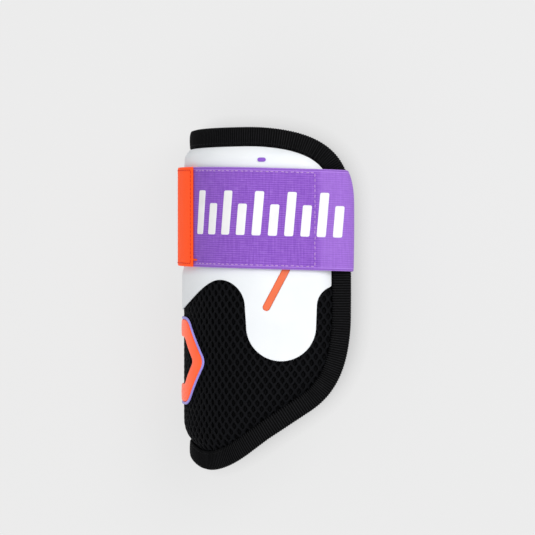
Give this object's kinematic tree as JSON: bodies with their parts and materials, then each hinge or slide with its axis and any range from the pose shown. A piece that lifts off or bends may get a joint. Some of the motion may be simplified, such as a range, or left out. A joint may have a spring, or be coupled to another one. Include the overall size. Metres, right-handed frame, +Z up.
{
  "type": "batting elbow guard",
  "caption": "Padded U-shaped elbow guard with a mesh skin, leather panel, bound edge and hook-and-loop strap.",
  "frame": {"origin": "middle of the bottom of the bounding box, on the surface that the guard lies on", "axes": "+X from the crown towards the open back, +Y up the arm, +Z up, from the far wall that it lies on to the near wall"},
  "size_m": [0.1128, 0.215, 0.1015],
  "materials": {
    "black_mesh": "black spacer mesh over foam",
    "black_grosgrain": "ribbed black tape",
    "white_leather": "fine-grained white synthetic leather",
    "orange_rubber": "satin moulded orange",
    "purple_rubber": "satin moulded purple",
    "lilac_rubber": "satin moulded lilac",
    "purple_elastic": "woven purple elastic",
    "purple_hook_tape": "hook tape",
    "orange_tape": "woven orange tape"
  },
  "bodies": {
    "root": {"pad_body": "black_mesh", "edge_binding_near": "black_grosgrain", "edge_binding_far": "black_grosgrain", "leather_panel": "white_leather", "accent_bar_near": "orange_rubber", "accent_bar_far": "orange_rubber", "crown_bar": "purple_rubber", "emblem_rim": "lilac_rubber", "emblem_face": "orange_rubber", "strap": "purple_elastic", "hook_patch": "purple_hook_tape", "pull_tab": "orange_tape"}
  },
  "joints": []
}
